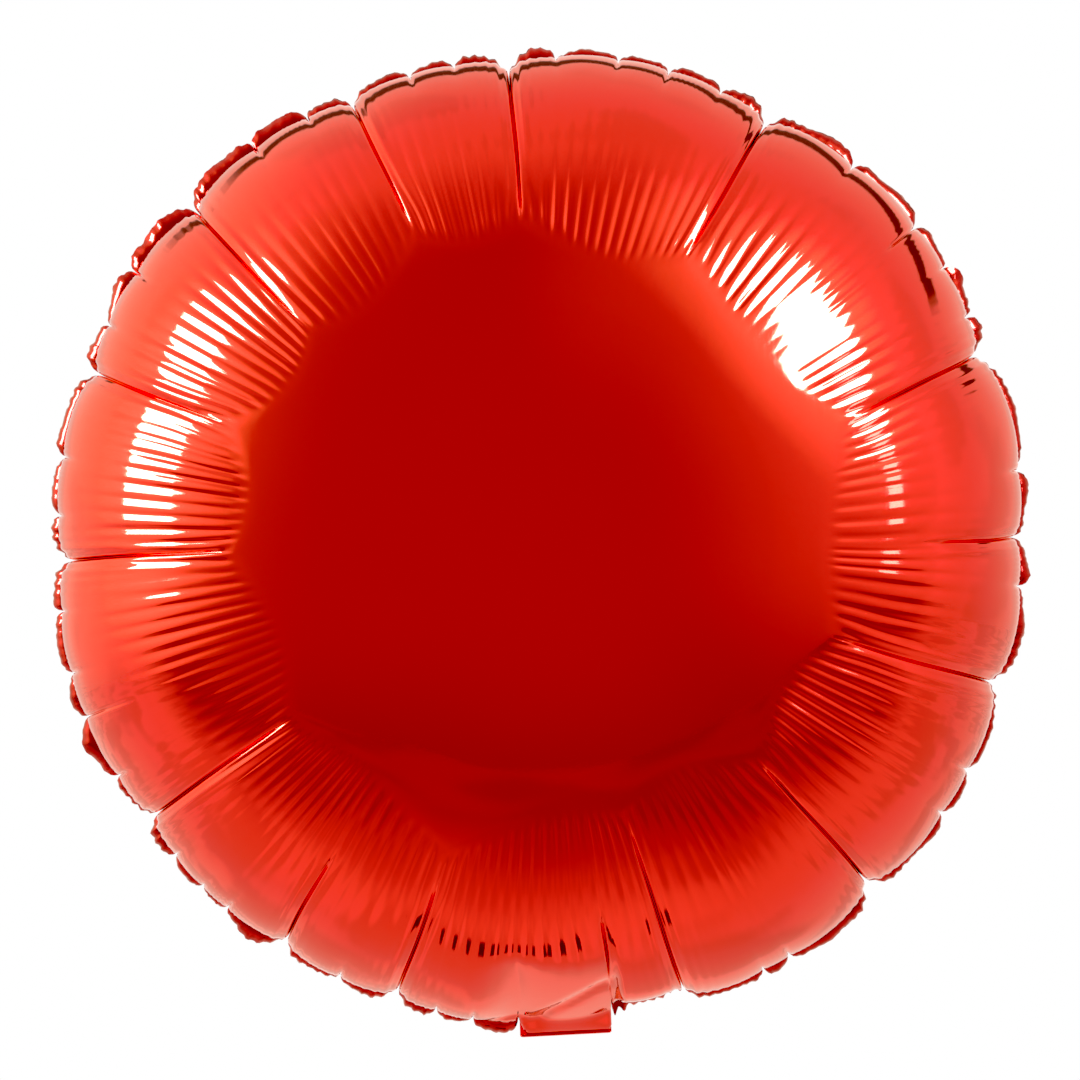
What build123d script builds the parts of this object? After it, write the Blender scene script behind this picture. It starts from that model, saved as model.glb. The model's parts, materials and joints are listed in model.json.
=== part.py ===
from build123d import *
import math
import os

# Round foil balloon, gas-filled: two discs of metallised film sealed together at their edge, with
# a one-way filling valve in a flat tail that is folded back behind the balloon.
# Its front looks along -Y and its neck points down. The origin is the middle of the tail's fold.

os.makedirs("parts", exist_ok=True)

# Driving dimensions, mm
flat_diameter = 457.0  # the discs as cut, sealed border included
border_width = 8.0  # heat-sealed border outside the gas space
film = 0.3  # wall of the panels and of the tail
neck_width = 33.0  # neck and tail, across both seams
seam_width = 5.5  # heat-sealed strip on each side of the neck
neck_half_depth = 4.0  # the neck's gas channel where it leaves the balloon
neck_drop = 2.3  # from the border's edge down to the fold line
collar_height = 2.5  # flat end of the neck, where it is sealed to the valve
fold_gap = 1.5  # film left free on each side of the fold line
tail_length = 60.0
tail_corner = 5.0
tail_clearance = 3.4  # between the folded tail and the back panel
valve_width = 18.0
valve_film = 0.15
valve_reach = 90.0  # the valve's open end, above the fold line
tail_valve_length = 48.0  # the valve's closed end, beyond the fold line
fill_hole_radius = 5.0
fill_hole_distance = 34.0  # from the fold line to the hole's centre
print_width = 12.0
print_length = 32.0
print_depth = 0.05
profile_slopes = [0, 3, 8, 15, 25, 37, 50, 63, 77, 90]  # degrees the film has turned from flat

# Two flat discs of radius a that can't stretch, sealed and filled, take a known shape: its
# greatest radius is a / 1.31103, and the film's slope gives each point of its section.
inflation_ratio = 1.311029
panel_radius = (flat_diameter / 2 - border_width) / inflation_ratio
border_radius = panel_radius + border_width
centre_height = border_radius + neck_drop
rim_bottom = centre_height - panel_radius
rim_cover = 2.0  # how far the neck's pieces run past the rim, before the gas space is cut out
tail_half_thickness = film + valve_film
collar_top = fold_gap + collar_height
neck_half_width = neck_width / 2 - seam_width

# The folded tail touches a line under the back panel, so its angle follows from its clearance
tail_rise = 2 * math.sqrt((border_width + neck_drop - tail_clearance) / panel_radius)
tail_angle = math.degrees(math.atan(tail_rise))

disc_plane = Plane.XY.offset(centre_height)
disc_axis = Axis((0, 0, centre_height), (0, 1, 0))
tail_out = (0, math.sin(math.radians(tail_angle)), -math.cos(math.radians(tail_angle)))
tail_plane = Plane(origin=(0, 0, 0), x_dir=(1, 0, 0), z_dir=tail_out)


def film_depth(slope):
    """Distance from the seal plane at which the film has turned by slope degrees."""
    steps = 400
    width = math.radians(90 - slope) / steps
    middles = [math.radians(slope) + (step + 0.5) * width for step in range(steps)]
    return panel_radius / 2 * sum(math.sqrt(math.sin(middle)) for middle in middles) * width


def section_points(inset):
    """Points of the front panel's section, from its centre to its rim, inset from its outside."""
    points = []
    for slope in profile_slopes:
        turn = math.radians(slope)
        radius = panel_radius * math.sqrt(math.sin(turn)) - inset * math.sin(turn)
        points.append((radius, -film_depth(slope) + inset * math.cos(turn)))
    return points


def half_lens(inset):
    """Half of the balloon's section, as a closed line to revolve about its centre line."""
    points = section_points(inset)
    with BuildLine() as outline:
        Spline(*points, tangents=((1, 0), (0, 1)))
        Polyline(points[-1], (0, 0), points[0])
    return outline.line


# Front panel: the domed disc, its border and the front half of the neck
with BuildPart() as front_panel:
    with BuildSketch(disc_plane):
        add(half_lens(0))
        make_face()
    revolve(axis=disc_axis)
    with BuildSketch(Plane.XZ):
        with Locations((0, centre_height)):
            Circle(border_radius)
    extrude(amount=film)
    with BuildSketch(Plane.XY.offset(rim_bottom + rim_cover)):
        Ellipse(neck_half_width, neck_half_depth)
    with BuildSketch(Plane.XY.offset(collar_top)):
        Ellipse(neck_half_width, tail_half_thickness)
    loft()
    with BuildSketch(Plane.XZ):
        with Locations((0, fold_gap)):
            Rectangle(neck_width, rim_bottom + rim_cover - fold_gap, align=(Align.CENTER, Align.MIN))
    extrude(amount=tail_half_thickness)
    with BuildSketch(disc_plane):
        add(half_lens(film))
        make_face()
    revolve(axis=disc_axis, mode=Mode.SUBTRACT)
    with BuildSketch(Plane.XY.offset(rim_bottom + rim_cover)):
        Ellipse(neck_half_width - film, neck_half_depth - film)
    with BuildSketch(Plane.XY.offset(collar_top)):
        Ellipse(neck_half_width - film, valve_film)
    loft(mode=Mode.SUBTRACT)
    with BuildSketch(Plane.XZ):
        with Locations((0, fold_gap)):
            Rectangle(valve_width, rim_bottom + rim_cover - fold_gap, align=(Align.CENTER, Align.MIN))
    extrude(amount=valve_film, mode=Mode.SUBTRACT)
    split(bisect_by=Plane.XZ, keep=Keep.TOP)
front_panel.part.label = "front_panel"

# Back panel: the same film, mirrored in the seal plane
with BuildPart() as back_panel:
    mirror(front_panel.part, about=Plane.XZ)
back_panel.part.label = "back_panel"

# Valve: two narrow films that lie flat on each other, open above and pressed shut by the gas
with BuildPart() as valve_back_film:
    with BuildSketch(Plane.XZ):
        with Locations((0, fold_gap)):
            Rectangle(valve_width, valve_reach - fold_gap, align=(Align.CENTER, Align.MIN))
    extrude(amount=-valve_film)
valve_back_film.part.label = "valve_back_film"

with BuildPart() as valve_front_film:
    mirror(valve_back_film.part, about=Plane.XZ)
    with BuildSketch(Plane.XZ):
        with Locations((0, fold_gap)):
            Rectangle(print_width, print_length, align=(Align.CENTER, Align.MIN))
    extrude(amount=print_depth, mode=Mode.SUBTRACT)
valve_front_film.part.label = "valve_front_film"

# Release print: a heat-proof patch that keeps the valve open under the neck's seal
with BuildPart() as valve_release_print:
    with BuildSketch(Plane.XZ):
        with Locations((0, fold_gap)):
            Rectangle(print_width, print_length, align=(Align.CENTER, Align.MIN))
    extrude(amount=print_depth)
valve_release_print.part.label = "valve_release_print"

# Tail: both films beyond the fold, with the valve's outer end in the pocket between them
with BuildPart() as tail_back_film:
    with BuildSketch(tail_plane):
        with Locations((0, -fold_gap)):
            Rectangle(neck_width, tail_length, align=(Align.CENTER, Align.MAX))
    extrude(amount=-tail_half_thickness)
    far_edges = tail_back_film.edges().filter_by(Axis((0, 0, 0), tail_out))
    fillet(far_edges.group_by(Axis.Y)[-1], radius=tail_corner)
    with BuildSketch(tail_plane):
        with Locations((0, -fold_gap)):
            Rectangle(valve_width, tail_valve_length, align=(Align.CENTER, Align.MAX))
    extrude(amount=-valve_film, mode=Mode.SUBTRACT)
tail_back_film.part.label = "tail_back_film"

with BuildPart() as tail_front_film:
    mirror(tail_back_film.part, about=tail_plane)
    with BuildSketch(tail_plane):
        with Locations((0, -fill_hole_distance)):
            Circle(fill_hole_radius)
    extrude(amount=tail_half_thickness, mode=Mode.SUBTRACT)
tail_front_film.part.label = "tail_front_film"

with BuildPart() as tail_valve_back_film:
    with BuildSketch(tail_plane):
        with Locations((0, -fold_gap)):
            Rectangle(valve_width, tail_valve_length, align=(Align.CENTER, Align.MAX))
    extrude(amount=-valve_film)
tail_valve_back_film.part.label = "tail_valve_back_film"

with BuildPart() as tail_valve_front_film:
    mirror(tail_valve_back_film.part, about=tail_plane)
    with BuildSketch(tail_plane):
        with Locations((0, -fill_hole_distance)):
            Circle(fill_hole_radius)
    extrude(amount=valve_film, mode=Mode.SUBTRACT)
tail_valve_front_film.part.label = "tail_valve_front_film"

print(f"greatest radius {panel_radius:.2f}, border radius {border_radius:.2f}")
print(f"half depth {film_depth(0):.2f}, centre height {centre_height:.2f}, tail angle {tail_angle:.2f}")

pieces = [
    front_panel,
    back_panel,
    valve_front_film,
    valve_back_film,
    valve_release_print,
    tail_front_film,
    tail_back_film,
    tail_valve_front_film,
    tail_valve_back_film,
]
for piece in pieces:
    export_step(piece.part, f"parts/{piece.part.label}.step")
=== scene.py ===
import json
import math

import bpy
import numpy as np
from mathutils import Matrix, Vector


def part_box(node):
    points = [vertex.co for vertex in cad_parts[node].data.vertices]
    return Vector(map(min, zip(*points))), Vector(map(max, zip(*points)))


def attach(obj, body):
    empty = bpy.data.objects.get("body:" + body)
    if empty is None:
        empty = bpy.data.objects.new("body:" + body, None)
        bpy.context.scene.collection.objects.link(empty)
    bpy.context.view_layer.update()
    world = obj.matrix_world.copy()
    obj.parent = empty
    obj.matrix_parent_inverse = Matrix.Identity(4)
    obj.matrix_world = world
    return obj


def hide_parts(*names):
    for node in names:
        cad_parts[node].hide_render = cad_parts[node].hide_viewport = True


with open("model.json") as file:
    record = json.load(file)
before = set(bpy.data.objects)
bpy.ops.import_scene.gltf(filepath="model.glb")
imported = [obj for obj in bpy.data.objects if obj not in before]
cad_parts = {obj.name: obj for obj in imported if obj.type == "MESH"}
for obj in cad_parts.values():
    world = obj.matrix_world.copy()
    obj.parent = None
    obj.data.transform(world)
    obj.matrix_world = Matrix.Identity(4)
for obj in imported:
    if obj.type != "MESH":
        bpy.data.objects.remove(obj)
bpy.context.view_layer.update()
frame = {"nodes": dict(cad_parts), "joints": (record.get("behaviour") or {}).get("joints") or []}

# A round foil balloon: the front and back panels with their gathers, the crinkled border, the
# neck, and the tail with its valve. Lengths are in metres. Angles on the face are in degrees,
# clockwise from the top as seen from the front.

MM = 0.001

# ---------------------------------------------------------------- sizes
# from the frame where it gives them, and otherwise the same as in the CAD
panel_low, panel_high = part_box("front_panel")
border_radius = (panel_high[0] - panel_low[0]) / 2
centre_height = panel_high[2] - border_radius
flat_diameter = 457 * MM
border_width = 8 * MM
panel_radius = border_radius - border_width
puff = 1.02  # the film stretches a little, so the lobes stand proud of the ideal outline
half_neck = 16.5 * MM
# the joint is straight down halfway, so this is the tail's angle above level at rest
tail_angle = math.radians(frame["joints"][0]["range_deg"][1] / 2 - 90)
tail_length = 61.5 * MM  # from the fold
tail_corner = 5 * MM
tail_seam = 5.5 * MM  # the sealed strip on each side
fold_radius = 0.5 * MM
fold_room = 0.45 * MM  # between the fold line and the panels
hole_radius = 5 * MM
hole_distance = 34 * MM  # from the fold to the middle of the fill hole

# ---------------------------------------------------------------- gathers
# Deep creases: angle, inner end as a share of the panel's radius, depth, lean of the inner end
DEEP_CREASES = [
    (31.5, 0.64, 1.1, -1.0), (69.9, 0.68, 1.0, 1.5), (92.6, 0.78, 0.8, 1.0),
    (110.4, 0.62, 1.0, 1.0), (139.3, 0.62, 1.1, -1.0), (165.3, 0.57, 1.0, 0.5),
    (174.2, 0.76, 0.9, -0.5), (200.6, 0.72, 1.0, -1.0),
    (215.4, 0.76, 0.9, 1.0), (237.5, 0.61, 1.1, 0.0), (270.5, 0.62, 1.0, 0.5),
    (293.6, 0.66, 1.0, -0.5), (316.7, 0.62, 1.0, -1.5), (339.6, 0.68, 0.9, 1.0),
    (359.1, 0.64, 1.1, 0.6),
]
# Short notches at the rim: angle, and inner end as a share of the panel's radius
RIM_NOTCHES = [
    (4.9, 0.985), (12.3, 0.97), (18.4, 0.955), (25.0, 0.985), (43.0, 0.97), (53.2, 0.90),
    (59.0, 0.98), (65.4, 0.985), (84.7, 0.97), (98.5, 0.98), (121.3, 0.965), (127.2, 0.98),
    (152.0, 0.97), (155.5, 0.985), (185.6, 0.97), (191.0, 0.975), (195.5, 0.98), (207.7, 0.97),
    (223.4, 0.97), (227.3, 0.985), (232.2, 0.98), (243.8, 0.965), (251.7, 0.89), (257.1, 0.97),
    (264.5, 0.98), (275.9, 0.98), (282.9, 0.965), (299.5, 0.97), (306.5, 0.96), (326.9, 0.97),
    (334.1, 0.975), (347.3, 0.965), (352.7, 0.98),
]
NECK_SIDES = (math.radians(174.2), math.radians(185.6))
# Where the border stands open instead of curling back
LOOSE_BORDER = (math.radians(301), math.radians(336))
# Where the fine gathers are weaker or, below 0, stronger: angle, half width, share taken away
RIB_CHANGES = [
    (22, 14, 0.70), (90, 16, 0.50), (124, 14, -0.15), (152, 13, 0.50), (187, 13, 0.35),
    (222, 14, 0.35), (252, 15, 0.55), (288, 24, -0.55), (330, 12, 0.35),
]
# Where they run on nearer to the rim: angle, half width
LONG_RIBS = [(288, 24), (187, 12)]
SMOOTH_LOBE = (54, 7)  # the lobe that is stretched nearly smooth further in
SHARP_RIBS = (187, 13)  # beside the neck
RIB_DEPTH = 0.175 * MM

COLUMNS = 1392  # points round each ring outside the smooth middle
RIB_COLUMNS = 8  # so there are 174 ribs
INNER_STEP = 4  # the inner rings have one point for this many columns
INNER_RINGS = 12
INNER_SHARE = 0.36  # of the flat radius, where the fine columns begin
OUTER_STRETCHES = [(0.54, 30), (0.90, 24), (1.0, 13)]  # of the flat radius, and the rings up to it
BORDER_RINGS = 4
CORNER_REACH = 0.72  # creases that reach this far in are corners of the smooth middle
SPAN_SAMPLES = 72  # between two notches, from which the columns are chosen


def smooth_step(low, high, value):
    share = np.clip((value - low) / (high - low), 0.0, 1.0)
    return share * share * (3 - 2 * share)


def around(angle, place, reach):
    """1 near place, falling to 0 about reach degrees from it; angle is in radians."""
    return np.exp(-(((angle - math.radians(place)) / math.radians(reach)) ** 4))


def ripple(angle, slowest, fastest, count, seed):
    """A smooth random wave round the face, of about unit size, the same on every run."""
    chance = np.random.default_rng(seed)
    total = np.zeros_like(angle)
    for _ in range(count):
        turns = int(chance.integers(slowest, fastest + 1))
        total += chance.uniform(0.5, 1.0) * np.sin(turns * angle + chance.uniform(0, math.tau))
    return total / math.sqrt(count / 2)


def section_table():
    """Flat radius, radius, depth and slope along the section of two sealed discs, inflated."""
    root = np.linspace(0, math.sqrt(math.pi / 2), 6001)
    slope = root**2
    pace = np.ones_like(root)
    pace[1:] = root[1:] / np.sqrt(np.sin(slope[1:]))
    flat = np.concatenate([[0], np.cumsum((pace[1:] + pace[:-1]) / 2 * np.diff(root))])
    depth_pace = np.sqrt(np.sin(slope)) * 2 * root
    run = np.concatenate([[0], np.cumsum((depth_pace[1:] + depth_pace[:-1]) / 2 * np.diff(root))])
    return flat / flat[-1], np.sqrt(np.sin(slope)), (run[-1] - run) / 2, slope


FLAT, RADIUS, DEPTH, SLOPE = section_table()


class Notch:
    """One crease of the film, running out to the seam."""

    def __init__(self, angle, reach, size, lean, deep, seed, side):
        shared = np.random.default_rng(seed)
        own = np.random.default_rng(seed + 1000 * (side + 2))
        self.angle = math.radians(angle)
        if side > 0 and deep:
            reach = min(0.9, max(0.57, reach + own.uniform(-0.07, 0.07)))
            lean = own.uniform(-1.5, 1.5)
        self.start = float(np.interp(reach, RADIUS, FLAT))
        self.size = size * shared.uniform(0.85, 1.15)
        self.lean = math.radians(lean)
        self.deep = deep
        self.corner = deep and reach <= CORNER_REACH
        self.pleat_side = float(shared.choice([-1, 1]))
        self.shiver = shared.uniform(0, 1.3)
        self.breadth = shared.uniform(0.8, 1.25)
        self.wave = own.uniform(0, math.tau)

    def at(self, share):
        """Its angle on the ring at share of the flat radius."""
        run = np.clip((1 - share) / (1 - self.start), 0, 1.3)
        sway = math.radians(0.12) * np.sin(9 * run + self.wave) * run if self.deep else 0
        return self.angle + self.lean * run**1.5 + sway

    def depth(self, share):
        """How deep its groove is on that ring."""
        run = np.clip((share - self.start) / (1 - self.start), 0, 1)
        if self.deep:
            growth = 0.8 * smooth_step(0, 0.15, run) + 2.0 * run + 3.0 * smooth_step(0.8, 1.0, run)
            return self.size * growth * MM
        return self.size * (1.2 * run**0.8 + 1.4 * smooth_step(0.6, 1.0, run)) * MM

    def pleat(self, share):
        """The height of the small pleat that lies beside a deep crease."""
        run = np.clip((share - self.start) / (1 - self.start) / 0.8, 0, 1)
        return 0.55 * MM * math.sin(math.pi * run) ** 1.5 if self.deep else 0.0

    def slit(self, share):
        """How much deeper the film is pinched in the middle of the groove."""
        run = np.clip((share - self.start) / (1 - self.start), 0, 1)
        uneven = 0.65 + 0.35 * math.sin(9 * run + self.wave)
        return self.size * (1.8 if self.deep else 0.9) * smooth_step(0, 0.25, run) * uneven * MM

    def width(self, share):
        """From the middle of the groove to its edge."""
        return self.breadth * ((1.8 if self.deep else 1.0) * MM + 1.1 * self.depth(share))


def make_notches(side):
    """All creases of one panel, in order round the face; those of the back differ a little."""
    notches = []
    for index, (angle, reach, size, lean) in enumerate(DEEP_CREASES):
        notches.append(Notch(angle, reach, size, lean, True, 100 + index, side))
    for index, (angle, reach) in enumerate(RIM_NOTCHES):
        notches.append(Notch(angle, reach, 1.0, 0.0, False, 300 + index, side))
    return sorted(notches, key=lambda notch: notch.angle)


def crease_profile(distance, width):
    """1 at a crease, falling off along a quarter ellipse, with a small ridge beside it."""
    near = np.clip(1 - np.abs(distance) / width, 0, 1)
    shoulder = 1 - np.sqrt(np.clip(1 - near**2, 0, 1))
    away = np.abs(distance)
    beside = np.exp(-away / (1.2 * width)) * np.sin(away * math.tau / (3.6 * MM))
    return shoulder - 0.15 * beside


def slit_profile(distance):
    """1 at the bottom of the pinched slit in a crease, 0 from half a millimetre away."""
    return np.clip(1 - np.abs(distance) / (0.5 * MM), 0, 1) ** 1.5


def across_spans(angle, places):
    """For each span between two places: its size, which angles lie in it, and how far across."""
    for start, end in zip(places, places[1:] + places[:1]):
        span = (end - start) % math.tau
        turn = (angle - start) % math.tau
        inside = turn < span
        yield span, inside, turn[inside] / span


def middle_edge(angle, share, notches):
    """How far past the edge of the smooth middle each angle is, in metres of film."""
    corners = [notch for notch in notches if notch.corner]
    places = [notch.at(share) for notch in corners]
    starts = [min(notch.start, 0.51) for notch in corners]
    edge = np.zeros_like(angle)
    for index, (span, inside, across) in enumerate(across_spans(angle, places)):
        bow = 4 * across * (1 - across)
        straight = starts[index] + (starts[(index + 1) % len(starts)] - starts[index]) * across
        edge[inside] = straight - 0.055 * bow * min(1.0, span / 0.5)
    return (share - edge) * flat_diameter / 2


def ring_height(angle, share, radius, notches):
    """How far the film stands proud of the ideal shape at these angles of one ring."""
    height = np.zeros_like(angle)
    past = middle_edge(angle, share, notches)
    # the film bends down at the edge of the smooth middle
    bent = np.where(past > 0, past, 0) + 0.5 * MM * np.exp(-np.abs(past) / (1.0 * MM))
    height -= 0.055 * (bent * np.exp(-np.maximum(past, 0) / (20 * MM)))
    deep = [notch for notch in notches if notch.deep]
    places = [notch.at(share) for notch in deep]
    for span, inside, across in across_spans(angle, places):
        # and each lobe between two deep creases is puffed up
        bow = 4 * across * (1 - across)
        ripe = np.clip(past[inside] / (100 * MM), 0, 1) ** 1.2
        height[inside] += 0.042 * span * radius * ripe * bow**0.8
    places = [notch.at(share) for notch in notches]
    for span, inside, across in across_spans(angle, places):
        # and each scallop between two notches, near the seam
        ripe = smooth_step(0.78, 1.0, share)
        height[inside] += 0.05 * span * radius * ripe * (4 * across * (1 - across)) ** 0.7
    for notch, place in zip(notches, places):
        depth = notch.depth(share)
        if depth > 0:
            gap = ((angle - place + math.pi) % math.tau - math.pi) * radius
            groove = depth * crease_profile(gap, notch.width(share))
            height -= groove + notch.slit(share) * slit_profile(gap)
            beside = gap - notch.pleat_side * 3.4 * MM
            height += notch.pleat(share) * np.exp(-((beside / (1.2 * MM)) ** 2))
            # fine parallel wrinkles run beside it near the seam
            tremble = smooth_step(0.80, 0.92, share) * np.exp(-((gap / (11 * MM)) ** 2)) * notch.shiver
            height += 0.12 * MM * tremble * np.cos(gap * math.tau / (1.9 * MM))
    return height


def column_plan(notches):
    """How many columns lie between each pair of neighbouring notches."""
    angles = [notch.angle for notch in notches]
    weights = [(b - a) % math.tau + 0.025 for a, b in zip(angles, angles[1:] + angles[:1])]
    exact = [COLUMNS * weight / sum(weights) for weight in weights]
    counts = [int(value) for value in exact]
    order = sorted(range(len(counts)), key=lambda index: counts[index] - exact[index])
    for index in order[: COLUMNS - sum(counts)]:
        counts[index] += 1
    return counts


def ring_columns(share, radius, notches, counts):
    """The angle of every column on a ring: evenly spaced along the film between notches."""
    places = [notch.at(share) for notch in notches]
    spread = (1 - np.cos(np.linspace(0, math.pi, SPAN_SAMPLES))) / 2
    starts = np.array(places)
    spans = (np.array(places[1:] + places[:1]) - starts) % math.tau
    fine = starts[:, None] + spans[:, None] * spread
    height = ring_height(fine.ravel(), share, radius, notches).reshape(fine.shape)
    steps = np.hypot(np.diff(height), radius * np.diff(fine))
    angles = []
    for row, count in enumerate(counts):
        along = np.concatenate([[0], np.cumsum(steps[row])])
        angles.append(np.interp(np.linspace(0, along[-1], count, endpoint=False), along, fine[row]))
    return np.concatenate(angles)


def rib_height(share, angle, past, seed):
    """Fine gathers, from the edge of the smooth middle to the puffed rim."""
    late = 1 * MM + 1.5 * MM * np.abs(ripple(angle, 20, 60, 8, seed))
    fade = 0.70 + 0.03 * ripple(angle, 8, 40, 6, seed + 1)
    for place, reach in LONG_RIBS:
        fade = fade + 0.07 * around(angle, place, reach)
    window = smooth_step(0, 7 * MM, past - late) * (1 - smooth_step(fade - 0.12, fade + 0.10, share))
    strength = np.clip(0.9 + 0.2 * ripple(angle, 10, 50, 8, seed + 2), 0.3, 1.4)
    taut = around(angle, *SMOOTH_LOBE)
    strength = strength * (1 - 0.85 * taut * (1 - smooth_step(0.56, 0.64, share)))
    for place, reach, cut in RIB_CHANGES:
        strength = strength * (1 - cut * around(angle, place, reach))
    sharp = around(angle, *SHARP_RIBS) * smooth_step(0.60, 0.66, share)
    strength = strength * (1 + 0.9 * sharp)
    phase = np.arange(COLUMNS) * math.tau / RIB_COLUMNS + 1.5 * ripple(angle, 3, 9, 5, seed + 3)
    wave = np.cos(phase) - 0.2 * np.cos(2 * phase)
    longer = 0.22 * np.cos(83 * angle + 3 * ripple(angle, 5, 14, 5, seed + 5))
    return RIB_DEPTH * window * strength * (wave + longer)


def neck_share(angle):
    """1 on the neck, falling steeply to 0 at its sides."""
    low, high = NECK_SIDES
    turn = angle % math.tau
    return smooth_step(low, low + 0.010, turn) * (1 - smooth_step(high - 0.022, high, turn))


def neck_folds(angle, share, side):
    """The film round the neck: a lobe beside it is tucked in, and in front a fold crosses it."""
    low, high = NECK_SIDES
    turn = angle % math.tau
    beside = smooth_step(low - 0.155, low - 0.13, turn) * (1 - smooth_step(low - 0.012, low, turn))
    height = -5.5 * MM * beside * smooth_step(0.84, 1.0, share)
    across = (turn - (low + high) / 2) / (high - low)
    line = 0.955 + 0.07 * across
    ridge = np.exp(-(((share - line) / 0.012) ** 2)) * smooth_step(low, low + 0.03, turn)
    return height + 0.6 * MM * ridge * (1 - smooth_step(high, high + 0.03, turn)) * (side < 0)


def tail_press(angle, out, level, side):
    """How far the film is pressed in, so that the folded tail has room on it."""
    along = level / math.cos(tail_angle)
    across = out * np.sin(angle)
    # it stays a little crowned, in millimetres, both along the tail and across it
    crown_along = 0.6 * ((along - 22 * MM) / (22 * MM)) ** 2
    crown_across = 2.2 * np.minimum(1, np.abs(across) / half_neck) ** 2
    crown = crown_along + crown_across
    room = fold_room + (1.50 + crown) * MM * smooth_step(1 * MM, 10 * MM, along)
    if side < 0:
        # a shallow fold rises to the right from a point left of the neck's middle, at 32 degrees
        rise = centre_height + out * np.cos(angle) - 2 * MM
        aside = 0.847 * rise - 0.531 * (across + 8 * MM)
        fold = 1.0 * MM * np.exp(-((aside / (1.6 * MM)) ** 2))
        room = room + fold * smooth_step(1 * MM, 6 * MM, level)
    lowest = level * math.tan(tail_angle) + room / math.cos(tail_angle)
    limit = (centre_height - lowest) / np.maximum(0.9, np.abs(np.cos(angle)))
    # past the limit the film is held back to it, with a soft edge
    soft = 1.0 * MM * smooth_step(2 * MM, 12 * MM, level)
    past = out - limit
    over = (past + np.sqrt(past**2 + soft**2)) / 2
    # beside the tail this fades away, more slowly on the left
    reach = np.where(across > 0, 6 * MM, 20 * MM)
    beside = smooth_step(half_neck + reach, half_neck + 0.6 * MM, np.abs(across))
    return over * beside * (np.cos(angle) < -0.9)


def panel_rings(side, seed):
    """Points of one panel's rings from the middle to the seam; side is -1 in front, 1 behind."""
    notches = make_notches(side)
    counts = column_plan(notches)
    inner = np.linspace(0, INNER_SHARE, INNER_RINGS + 1)[1:]
    outer, reached = [], INNER_SHARE
    for end, count in OUTER_STRETCHES:
        outer.append(np.linspace(reached, end, count + 1)[1:])
        reached = end
    outer = np.concatenate(outer)
    rib_angle = ring_columns(0.5, panel_radius / 2, notches, counts)
    rings = []
    for share in np.concatenate([inner, outer]):
        slope = float(np.interp(share, FLAT, SLOPE))
        radius = float(np.interp(share, FLAT, RADIUS)) * panel_radius * puff
        depth = float(np.interp(share, FLAT, DEPTH)) * panel_radius
        angle = ring_columns(share, radius, notches, counts)
        neck = neck_share(angle)
        height = ring_height(angle, share, radius, notches)
        height += rib_height(share, rib_angle, middle_edge(angle, share, notches), seed)
        height += neck_folds(angle, share, side)
        calm = smooth_step(0.1, 0.5, share) * (1 - share)
        height += 0.5 * MM * calm * ripple(angle, 2, 7, 5, seed + 10)
        # the lobes dip into the seam
        height -= 2.0 * MM * smooth_step(0.93, 1.0, share) ** 1.5 * (1 - neck)
        out = radius + height * math.sin(slope)
        level = depth + height * math.cos(slope)
        # the neck runs straight down to the fold
        fold = (centre_height - fold_room) / np.maximum(0.9, np.abs(np.cos(angle)))
        towards = neck * smooth_step(0.88, 1.0, share)
        out = out + (fold - out) * towards
        if share == 1.0:
            # the seam, where the two panels nearly meet
            level = neck * 0.2 * MM + (1 - neck) * 0.05 * MM
        else:
            out = out - tail_press(angle, out, level, side)
        points = [out * np.sin(angle), side * level, centre_height + out * np.cos(angle)]
        rings.append(np.stack(points, axis=1))
    return rings, notches


def border_rings(seam, side, notches):
    """The crinkled strip outside the seam, as rings of points; most of it curls back."""
    offset = seam - np.array([0, 0, centre_height])
    reach = np.hypot(offset[:, 0], offset[:, 2])
    angle = np.arctan2(offset[:, 0], offset[:, 2])
    curl = np.zeros(COLUMNS)
    bow = np.zeros(COLUMNS)
    chance = np.random.default_rng(5)
    places = [notch.angle for notch in notches]
    for span, inside, across in across_spans(angle, places):
        curl[inside] = chance.uniform(1.5, 2.3)
        bow[inside] = np.sqrt(4 * across * (1 - across))
    even = np.linspace(0, math.tau, COLUMNS, endpoint=False)
    turn = angle % math.tau
    low, high = LOOSE_BORDER
    loose = smooth_step(low, low + 0.06, turn) * (1 - smooth_step(high - 0.06, high, turn))
    # the corner beside the neck is a loose, crushed flap
    edge = NECK_SIDES[0]
    corner = smooth_step(edge - 0.035, edge - 0.02, turn) * (turn < edge + 0.02)
    curl += (1.1 - curl) * loose + (0.3 - curl) * corner + 0.25 * ripple(even, 20, 70, 8, 77)
    bow = bow + (1 - bow) * np.maximum(0.6 * loose, corner)
    rings = []
    for step in range(1, BORDER_RINGS + 1):
        share = step / BORDER_RINGS
        bend = curl * share * (0.4 + 0.6 * bow)
        length = border_width * (0.3 + 0.7 * bow) * share
        # fine crinkles, which differ from ring to ring, and coarse ones
        dent = (1 + 0.8 * loose + 0.5 * corner) * 0.14 * ripple(even, 150, 420, 14, 80 + step)
        dent += 0.30 * ripple(even, 60, 150, 8, 90)
        apart = side * 0.07 * MM + dent * MM * share
        out = reach + length * np.sin(bend) / bend - apart * np.sin(bend)
        level = length * (1 - np.cos(bend)) / bend + apart * np.cos(bend)
        points = [out * np.sin(angle), level, centre_height + out * np.cos(angle)]
        rings.append(np.stack(points, axis=1))
    return rings


def add_mesh(name, points, faces, smooth=True):
    """A mesh object of these faces, without the points that no face uses."""
    used = sorted({index for face in faces for index in face})
    place = {index: number for number, index in enumerate(used)}
    faces = [tuple(place[index] for index in face) for face in faces]
    mesh = bpy.data.meshes.new(name)
    mesh.from_pydata([tuple(points[index]) for index in used], [], faces)
    if smooth:
        mesh.shade_smooth()
    piece = bpy.data.objects.new(name, mesh)
    bpy.context.scene.collection.objects.link(piece)
    return piece


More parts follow.
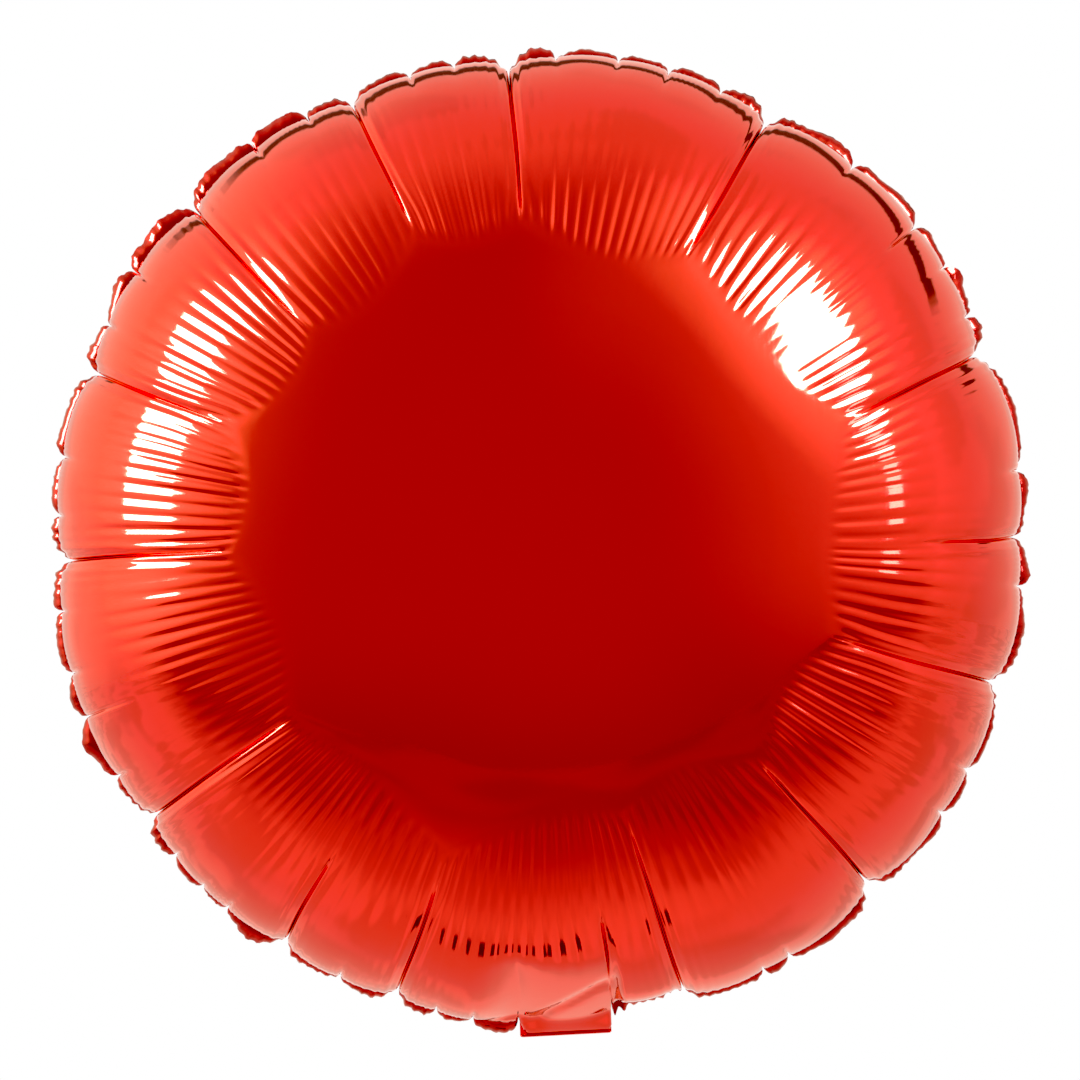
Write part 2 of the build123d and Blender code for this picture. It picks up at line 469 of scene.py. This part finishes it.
def ring_quads(first, second, count, keep=None):
    """Faces between two rings of count points, as lists of corners."""
    column = np.arange(count)
    after = (column + 1) % count
    quads = np.stack([first + column, second + column, second + after, first + after], axis=1)
    return (quads if keep is None else quads[keep & keep[after]]).tolist()


def panel_mesh(name, side, seed):
    """One panel with its border; the border's faces take the second material."""
    rings, notches = panel_rings(side, seed)
    middle = np.array([[0, side * DEPTH[0] * panel_radius, centre_height]])
    inner = [ring[::INNER_STEP] for ring in rings[:INNER_RINGS]]
    outer = rings[INNER_RINGS:]
    border = border_rings(outer[-1], side, notches)
    points = np.concatenate([middle] + inner + outer + border)
    few, many = COLUMNS // INNER_STEP, COLUMNS
    faces = [(0, 1 + column, 1 + (column + 1) % few) for column in range(few)]
    for ring in range(INNER_RINGS - 1):
        faces += ring_quads(1 + ring * few, 1 + (ring + 1) * few, few)
    # each column of the inner rings opens into INNER_STEP columns of the outer ones
    a, b = 1 + (INNER_RINGS - 1) * few, 1 + INNER_RINGS * few
    half = INNER_STEP // 2
    for column in range(few):
        after = (column + 1) % few
        fan = [b + (column * INNER_STEP + step) % many for step in range(INNER_STEP + 1)]
        for step in range(INNER_STEP):
            faces.append(((a + column) if step < half else (a + after), fan[step], fan[step + 1]))
        faces.append((a + column, fan[half], a + after))
    seam = outer[-1] - np.array([0, 0, centre_height])
    turn = np.arctan2(seam[:, 0], seam[:, 2]) % math.tau
    off_neck = (turn < NECK_SIDES[0] + 0.001) | (turn > NECK_SIDES[1] - 0.001)
    for ring in range(len(outer) - 1):
        a = b + ring * many
        faces += ring_quads(a, a + many, many)
    gas_faces = len(faces)
    for ring in range(len(outer) - 1, len(outer) + len(border) - 1):
        a = b + ring * many
        faces += ring_quads(a, a + many, many, off_neck)
    piece = add_mesh(name, points, faces)
    for face in piece.data.polygons[gas_faces:]:
        face.material_index = 1
    if side < 0:
        piece.data.flip_normals()
    return piece


# ---------------------------------------------------------------- tail
def tail_point(across, along, out):
    """A point of the folded tail: across it, along it from the fold, and out of its front film."""
    back, up = math.cos(tail_angle), math.sin(tail_angle)
    return (across, along * back + out * up, along * up - out * back)


def tail_bulge(place, across, along, folds):
    """How far a tail film stands off the tail's middle; place is across as a share of its half."""
    to_side, to_end = half_neck - abs(across), tail_length - along
    inward = np.clip(min(to_side, to_end * 1.2) / tail_seam, 0, 1)
    puffed = smooth_step(0.85, 1.6, min(to_side, to_end) / tail_seam)
    # it is thinnest at the fold
    thick = smooth_step(0, 2 * MM, along)
    puffed *= smooth_step(0, 8 * MM, along)
    out = 0.06 * MM + 0.30 * MM * thick * smooth_step(0.7, 1.1, inward * 1.1) + 0.35 * MM * puffed
    if inward < 0.9:
        # the sealed strips are dimpled
        pitch = 1.6 * MM
        dimple = math.cos(along * math.tau / pitch)
        out += 0.05 * MM * dimple * math.cos(across * math.tau / pitch)
    for where, width, size in folds:
        run = smooth_step(0, 0.5, 1 - along / tail_length)
        out += 0.12 * MM * size * run * math.exp(-(((place - where) / width) ** 2)) * puffed
    return out


def tail_film(name, side):
    """One film of the tail, from the fold to its rounded end; side 1 is the front film."""
    columns, rows = 66, 123
    chance = np.random.default_rng(31 if side > 0 else 32)
    points, gone = [], set()
    folds = []
    for _ in range(5):
        folds.append((chance.uniform(-0.7, 0.7), chance.uniform(0.1, 0.22), chance.uniform(0.5, 1)))
    for row in range(rows + 1):
        along = tail_length * row / rows
        past = max(0.0, along - (tail_length - tail_corner))
        half = half_neck - tail_corner + math.sqrt(max(0.0, tail_corner**2 - past**2))
        for column in range(columns + 1):
            place = -1 + 2 * column / columns
            across = place * half
            out = side * tail_bulge(place, across, along, folds)
            # the whole tail has a slight wave along it
            run = along / tail_length
            out += 0.30 * MM * math.sin(run * 5.2) * smooth_step(0, 0.1, run)
            gap = math.hypot(across, along - hole_distance)
            if side > 0 and gap < hole_radius + 0.30 * MM:
                if gap > hole_radius - 0.35 * MM:
                    # points near the fill hole's edge move onto it
                    scale = hole_radius / gap
                    beyond = hole_distance + (along - hole_distance) * scale
                    points.append(tail_point(across * scale, beyond, out))
                    continue
                gone.add(len(points))
            points.append(tail_point(across, along, out))
    faces = []
    for row in range(rows):
        for column in range(columns):
            a = row * (columns + 1) + column
            face = (a, a + 1, a + columns + 2, a + columns + 1)
            if not any(corner in gone for corner in face):
                faces.append(face)
    piece = add_mesh(name, points, faces)
    if side > 0:
        piece.data.flip_normals()
    return piece


def fold_bead():
    """The rounded fold where the neck turns into the tail."""
    steps, sides = 60, 12
    points, faces = [], []
    for step in range(steps + 1):
        across = -1 + 2 * step / steps
        girth = fold_radius * math.sqrt(max(0.0, 1 - across**40)) + 0.02 * MM
        for turn in range(sides):
            sweep = math.tau * turn / sides
            points.append((across * half_neck, girth * math.cos(sweep), girth * math.sin(sweep)))
    for step in range(steps):
        for turn in range(sides):
            a, b = step * sides + turn, step * sides + (turn + 1) % sides
            faces.append((a, b, b + sides, a + sides))
    # its two ends
    faces.append(tuple(range(sides - 1, -1, -1)))
    faces.append(tuple(range(steps * sides, (steps + 1) * sides)))
    piece = add_mesh("neck_fold", points, faces)
    piece.data.flip_normals()
    return piece


# ---------------------------------------------------------------- materials
def start_material(name):
    """A new material, its nodes, its links and its shader."""
    material = bpy.data.materials.new(name)
    material.use_nodes = True
    nodes = material.node_tree.nodes
    return material, nodes, material.node_tree.links, nodes["Principled BSDF"]


def noise(nodes, links, place, scale, detail):
    """The value of a noise texture at place."""
    node = nodes.new("ShaderNodeTexNoise")
    node.inputs["Scale"].default_value = scale
    node.inputs["Detail"].default_value = detail
    links.new(place, node.inputs["Vector"])
    return node.outputs["Fac"]


def uneven_colour(nodes, links, share, first, second):
    """A colour that goes from first to second as share goes from 0 to 1."""
    node = nodes.new("ShaderNodeMix")
    node.data_type = "RGBA"
    node.inputs["A"].default_value = first
    node.inputs["B"].default_value = second
    links.new(share, node.inputs["Factor"])
    return node.outputs["Result"]


def foil_material(name, first, second, spots):
    """Dyed metallised film; its colour wanders between first and second, in spots per metre."""
    material, nodes, links, shader = start_material(name)
    shader.inputs["Metallic"].default_value = 1.0
    shader.inputs["Specular Tint"].default_value = (1.0, 0.86, 0.70, 1)
    shader.inputs["Coat Weight"].default_value = 0.2
    place = nodes.new("ShaderNodeTexCoord").outputs["Object"]
    cloud = noise(nodes, links, place, spots, 4)
    colour = uneven_colour(nodes, links, cloud, first, second)
    links.new(colour, shader.inputs["Base Color"])
    # hair-fine rolling marks and specks
    stretch = nodes.new("ShaderNodeMapping")
    stretch.inputs["Scale"].default_value = (900, 40, 60)
    links.new(place, stretch.inputs["Vector"])
    lines = noise(nodes, links, stretch.outputs[0], 1.0, 3)
    rough = nodes.new("ShaderNodeMapRange")
    rough.inputs["From Min"].default_value = 0.3
    rough.inputs["From Max"].default_value = 0.7
    rough.inputs["To Min"].default_value = 0.05
    rough.inputs["To Max"].default_value = 0.09
    links.new(lines, rough.inputs["Value"])
    links.new(rough.outputs[0], shader.inputs["Roughness"])
    # the film is never quite smooth
    waver = noise(nodes, links, place, 220, 2)
    bump = nodes.new("ShaderNodeBump")
    bump.inputs["Strength"].default_value = 0.25
    bump.inputs["Distance"].default_value = 0.00006
    links.new(waver, bump.inputs["Height"])
    links.new(bump.outputs["Normal"], shader.inputs["Normal"])
    return material


def valve_material(name, alpha):
    """Clear or printed plastic film."""
    material, nodes, links, shader = start_material(name)
    shader.inputs["Roughness"].default_value = 0.22
    shader.inputs["Alpha"].default_value = alpha
    place = nodes.new("ShaderNodeTexCoord").outputs["Object"]
    cloud = noise(nodes, links, place, 160, 2)
    colour = uneven_colour(nodes, links, cloud, (0.80, 0.82, 0.84, 1), (0.90, 0.91, 0.92, 1))
    links.new(colour, shader.inputs["Base Color"])
    return material


# ---------------------------------------------------------------- studio
def map_range(nodes, links, source, low, high, start, end):
    """A smooth change from start to end as source goes from low to high."""
    node = nodes.new("ShaderNodeMapRange")
    node.interpolation_type = "SMOOTHSTEP"
    for socket, value in zip(("From Min", "From Max", "To Min", "To Max"), (low, high, start, end)):
        node.inputs[socket].default_value = value
    links.new(source, node.inputs["Value"])
    return node.outputs[0]


def combine(nodes, links, operation, first, second):
    """One arithmetic step on two values, each a socket or a number."""
    node = nodes.new("ShaderNodeMath")
    node.operation = operation
    for socket, value in zip(node.inputs, (first, second)):
        if isinstance(value, (int, float)):
            socket.default_value = value
        else:
            links.new(value, socket)
    return node.outputs[0]


def band(nodes, links, source, low, high, soft):
    """1 between low and high and 0 outside them, changing over soft on both sides of each."""
    first = map_range(nodes, links, source, low - soft, low + soft, 0.0, 1.0)
    last = map_range(nodes, links, source, high - soft, high + soft, 1.0, 0.0)
    return combine(nodes, links, "MULTIPLY", first, last)


def direction(clock, off_axis):
    """A unit vector clock degrees round from the top and off_axis degrees from -Y."""
    turn, tilt = math.radians(clock), math.radians(off_axis)
    return Vector((math.sin(tilt) * math.sin(turn), -math.cos(tilt), math.sin(tilt) * math.cos(turn)))


def glow_towards(nodes, links, way, clock, off_axis, reach, sharpness, strength):
    """A soft patch of light round one direction; reach is the cosine where it ends."""
    dot = nodes.new("ShaderNodeVectorMath")
    dot.operation = "DOT_PRODUCT"
    links.new(way, dot.inputs[0])
    dot.inputs[1].default_value = direction(clock, off_axis)
    share = combine(nodes, links, "SUBTRACT", dot.outputs["Value"], reach)
    share = combine(nodes, links, "MAXIMUM", combine(nodes, links, "DIVIDE", share, 1 - reach), 0.0)
    share = combine(nodes, links, "POWER", share, sharpness)
    return combine(nodes, links, "MULTIPLY", share, strength)


def camera_value(nodes, links, reflected, direct):
    """The value direct for what the camera sees, and reflected for all other rays."""
    path = nodes.new("ShaderNodeLightPath")
    node = nodes.new("ShaderNodeMix")
    node.data_type = "FLOAT"
    links.new(path.outputs["Is Camera Ray"], node.inputs["Factor"])
    links.new(reflected, node.inputs["A"])
    node.inputs["B"].default_value = direct
    return node.outputs["Result"], path


# Soft patches of light in the surroundings: clock, off_axis, reach, sharpness and strength, as
# glow_towards takes them; the warm ones lie round the two large lamps
WHITE_GLOW = (65, 57, 0.6, 2.0, 0.55)
WARM_GLOWS = [
    (288, 75, 0.40, 4.0, 0.45), (292, 106, 0.50, 2.0, 0.45),
    (288, 79, 0.84, 1.0, 0.90), (52, 58, 0.88, 1.0, 0.90),
]


def studio_world():
    """White surroundings that are darker round the camera, which stands on the -Y side."""
    world = bpy.data.worlds.new("studio")
    bpy.context.scene.world = world
    world.use_nodes = True
    nodes, links = world.node_tree.nodes, world.node_tree.links
    nodes.clear()
    coordinates = nodes.new("ShaderNodeTexCoord")
    way = coordinates.outputs["Generated"]
    split = nodes.new("ShaderNodeSeparateXYZ")
    links.new(way, split.inputs[0])
    x, y, z = split.outputs
    front = map_range(nodes, links, y, -0.76, -0.08, 0.52, 1.05)
    low = map_range(nodes, links, z, -0.75, 0.0, 0.60, 1.0)
    glow = combine(nodes, links, "MULTIPLY", front, low)
    # screens and stands round the studio, soft and a little darker
    blots = noise(nodes, links, way, 2.6, 1.5)
    screens = map_range(nodes, links, blots, 0.47, 0.60, 0.0, 1.0)
    aside = map_range(nodes, links, y, -0.75, -0.45, 0.0, 1.0)
    screens = combine(nodes, links, "MULTIPLY", screens, aside)
    shade = combine(nodes, links, "MULTIPLY", screens, 0.10)
    glow = combine(nodes, links, "MULTIPLY", glow, combine(nodes, links, "SUBTRACT", 1.0, shade))
    glow = combine(nodes, links, "ADD", glow, glow_towards(nodes, links, way, *WHITE_GLOW))
    warm = 0.0
    for patch in WARM_GLOWS:
        warm = combine(nodes, links, "ADD", glow_towards(nodes, links, way, *patch), warm)
    glow = combine(nodes, links, "ADD", glow, warm)
    # a dark gap above the backdrop; ratio is its height, as a slope seen from the balloon
    ratio = combine(nodes, links, "DIVIDE", z, combine(nodes, links, "MAXIMUM", y, 0.02))
    above = map_range(nodes, links, ratio, 0.58, 0.63, 0.0, 1.0)
    below = map_range(nodes, links, ratio, 0.80, 0.86, 1.0, 0.0)
    behind = map_range(nodes, links, y, 0.15, 0.30, 0.0, 1.0)
    sideways = combine(nodes, links, "DIVIDE", x, combine(nodes, links, "MAXIMUM", z, 0.02))
    left_end = map_range(nodes, links, sideways, -1.1, -0.7, 0.0, 1.0)
    right_end = map_range(nodes, links, sideways, 2.0, 2.6, 1.0, 0.0)
    ends = combine(nodes, links, "MULTIPLY", left_end, right_end)
    gap = combine(nodes, links, "MULTIPLY", combine(nodes, links, "MULTIPLY", above, below), behind)
    gap = combine(nodes, links, "MULTIPLY", gap, ends)
    dim = combine(nodes, links, "SUBTRACT", 1.0, combine(nodes, links, "MULTIPLY", gap, 0.84))
    glow = combine(nodes, links, "MULTIPLY", glow, dim)
    seen, path = camera_value(nodes, links, glow, 1.0)
    background = nodes.new("ShaderNodeBackground")
    tone = nodes.new("ShaderNodeCombineColor")
    tone.inputs["Red"].default_value = 1.0
    links.new(map_range(nodes, links, warm, 0.0, 0.6, 1.0, 1.30), tone.inputs["Green"])
    links.new(map_range(nodes, links, warm, 0.0, 0.6, 1.0, 0.95), tone.inputs["Blue"])
    # only reflections show the warm colour
    tint = nodes.new("ShaderNodeMix")
    tint.data_type = "RGBA"
    links.new(path.outputs["Is Glossy Ray"], tint.inputs["Factor"])
    tint.inputs["A"].default_value = (1, 1, 1, 1)
    links.new(tone.outputs["Color"], tint.inputs["B"])
    links.new(tint.outputs["Result"], background.inputs["Color"])
    links.new(seen, background.inputs["Strength"])
    output = nodes.new("ShaderNodeOutputWorld")
    links.new(background.outputs[0], output.inputs["Surface"])


def softbox(name, clock, off_axis, distance, width, height, glow):
    """A lamp that faces the balloon, at clock degrees round from the top and off_axis from -Y."""
    way = direction(clock, off_axis)
    light = bpy.data.lights.new(name, "AREA")
    light.shape = "RECTANGLE"
    light.size, light.size_y = width, height
    light.energy = glow * math.pi * width * height
    lamp = bpy.data.objects.new(name, light)
    lamp.location = Vector((0, 0, centre_height)) + way * distance
    lamp.rotation_mode = "QUATERNION"
    lamp.rotation_quaternion = way.to_track_quat("Z", "Y")
    # it shows only in the balloon's reflections
    lamp.visible_camera = False
    lamp.visible_diffuse = False
    bpy.context.scene.collection.objects.link(lamp)


def make_camera():
    """Face-on, from as far away as the photograph seems to be taken."""
    data = bpy.data.cameras.new("camera")
    distance = 2.2
    view_width = 0.3899  # of the picture, at the balloon's middle
    roll = math.radians(3)  # the balloon in the photograph is turned this far
    data.lens = data.sensor_width * distance / view_width
    camera = bpy.data.objects.new("camera", data)
    camera.location = (0, -distance, centre_height)
    camera.rotation_euler = (math.radians(90), roll, 0)
    bpy.context.scene.collection.objects.link(camera)
    bpy.context.scene.camera = camera


def make_floor():
    """A floor that the camera sees as plain white and the balloon reflects with painted shade."""
    height, side, near, far = -0.62, 3.0, -1.6, 4.0
    corners = [(-side, near, height), (side, near, height), (side, far, height), (-side, far, height)]
    floor = add_mesh("floor", corners, [(0, 1, 2, 3)], smooth=False)
    material, nodes, links, shader = start_material("pale_floor")
    place = nodes.new("ShaderNodeTexCoord").outputs["Object"]
    split = nodes.new("ShaderNodeSeparateXYZ")
    links.new(place, split.inputs[0])
    x, y = split.outputs[0], split.outputs[1]
    # painted shade: its reflection is darker towards the camera and on the right, where the studio's
    # dark side is
    shade = map_range(nodes, links, y, -0.95, -0.08, 0.42, 0.97)
    aside = map_range(nodes, links, x, 0.0, 0.5, 1.0, 0.90)
    # blotches of painted shade, which only reflections show
    blots = noise(nodes, links, place, 2.2, 1.0)
    uneven = map_range(nodes, links, blots, 0.42, 0.60, 1.02, 0.84)
    aside = combine(nodes, links, "MULTIPLY", aside, uneven)
    # a dark patch of painted shade below the balloon, which only reflections show
    dark_x = band(nodes, links, x, -0.17, -0.03, 0.01)
    dark_y = band(nodes, links, y, -0.125, -0.025, 0.01)
    dark = combine(nodes, links, "MULTIPLY", dark_x, dark_y)
    dark = combine(nodes, links, "SUBTRACT", 1.0, combine(nodes, links, "MULTIPLY", dark, 0.9))
    shade = combine(nodes, links, "MULTIPLY", shade, dark)
    shade = combine(nodes, links, "MULTIPLY", shade, aside)
    links.new(camera_value(nodes, links, shade, 0.95)[0], shader.inputs["Base Color"])
    shader.inputs["Roughness"].default_value = 0.8
    shader.inputs["Specular IOR Level"].default_value = 0.1
    floor.data.materials.append(material)


def grade_view():
    """A plain view with deep darks, as the photograph has."""
    view = bpy.context.scene.view_settings
    view.view_transform = "Standard"
    view.use_curve_mapping = True
    curve = view.curve_mapping.curves[3]  # the curve for all three colours
    for level, shown in ((0.0235, 0.0), (0.033, 0.009), (0.045, 0.034), (0.10, 0.10)):
        curve.points.new(level, shown)
    for point in curve.points:
        point.handle_type = "VECTOR"
    view.curve_mapping.update()


make_camera()
studio_world()
make_floor()
softbox("left_box", clock=291.5, off_axis=79, distance=1.5, width=0.60, height=0.74, glow=45)
softbox("right_box", clock=54, off_axis=59, distance=1.5, width=0.54, height=0.54, glow=45)
softbox("right_strip", clock=82, off_axis=63, distance=1.5, width=0.13, height=0.22, glow=14)

foil = foil_material("red_foil_film", (0.80, 0.033, 0.022, 1), (0.84, 0.036, 0.025, 1), 9)
# the sealed border takes a darker copy of the foil: its darkness and uneven blotches are painted shade
# for the dark surroundings that the curled, crinkled film reflects
seal_painted_shade = foil_material("red_foil_seal_painted_shade", (0.26, 0.008, 0.007, 1), (0.62, 0.024, 0.020, 1), 130)
clear = valve_material("clear_valve_film", 0.45)
printed = valve_material("printed_coat", 1.0)
for name, side, seed in (("front_foil", -1, 40), ("back_foil", 1, 60)):
    piece = panel_mesh(name, side, seed)
    piece.data.materials.append(foil)
    piece.data.materials.append(seal_painted_shade)
    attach(piece, "balloon")
    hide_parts("front_panel" if side < 0 else "back_panel")

fold = fold_bead()
fold.data.materials.append(foil)
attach(fold, "balloon")

tail_films = (("tail_front_foil", 1, "tail_front_film"), ("tail_back_foil", -1, "tail_back_film"))
for name, side, node in tail_films:
    piece = tail_film(name, side)
    piece.data.materials.append(foil)
    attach(piece, "tail")
    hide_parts(node)

# the valve stays as in CAD, with its own materials
for name, node in frame["nodes"].items():
    if name in ("front_panel", "back_panel", "tail_front_film", "tail_back_film"):
        continue
    node.data.materials.clear()
    node.data.materials.append(printed if name == "valve_release_print" else clear)

grade_view()
